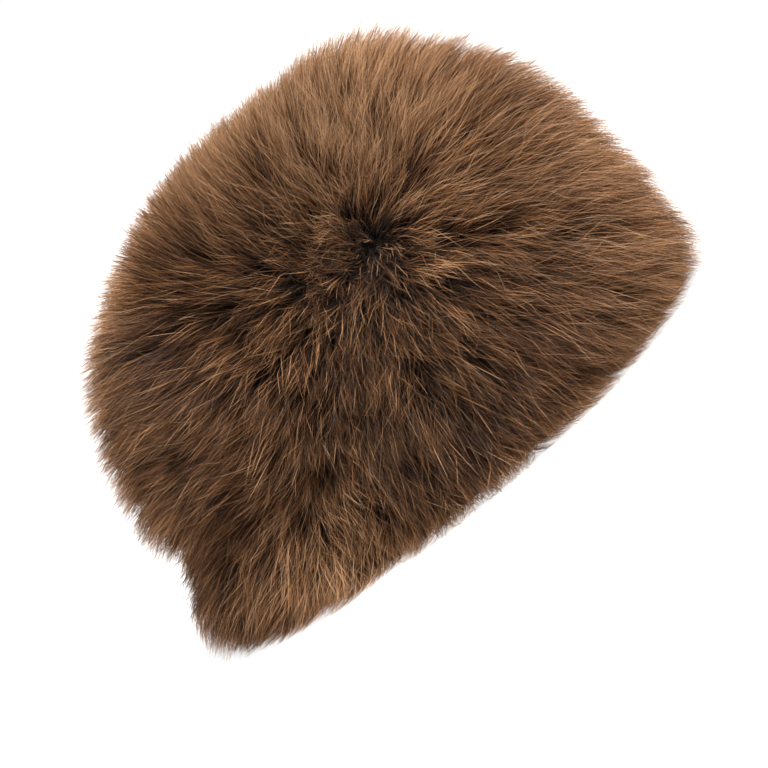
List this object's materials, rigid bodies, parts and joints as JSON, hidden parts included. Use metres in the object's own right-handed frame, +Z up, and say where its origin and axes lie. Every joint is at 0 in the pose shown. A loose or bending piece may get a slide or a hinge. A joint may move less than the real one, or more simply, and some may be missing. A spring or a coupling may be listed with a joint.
{
  "type": "faux fur ushanka hat",
  "caption": "Long-pile brown faux fur ushanka with its front, ear and neck flaps turned up against a domed crown that is open below for the head.",
  "frame": {"origin": "on the surface that the hat stands on, under the middle of its outer size", "axes": "+Z up out of the crown, -Y towards the front flap, +X towards the wearer's left side"},
  "size_m": [0.2452, 0.276, 0.1841],
  "materials": {
    "crown_fur": "long-pile faux fur, brown with dark roots and golden-brown tips, on knitted backing cloth",
    "flap_fur": "long-pile faux fur, brown with dark roots and golden-brown tips, on knitted backing cloth"
  },
  "bodies": {
    "root": {"crown": "crown_fur", "front_flap": "flap_fur", "ear_and_neck_flap": "flap_fur"}
  },
  "joints": []
}
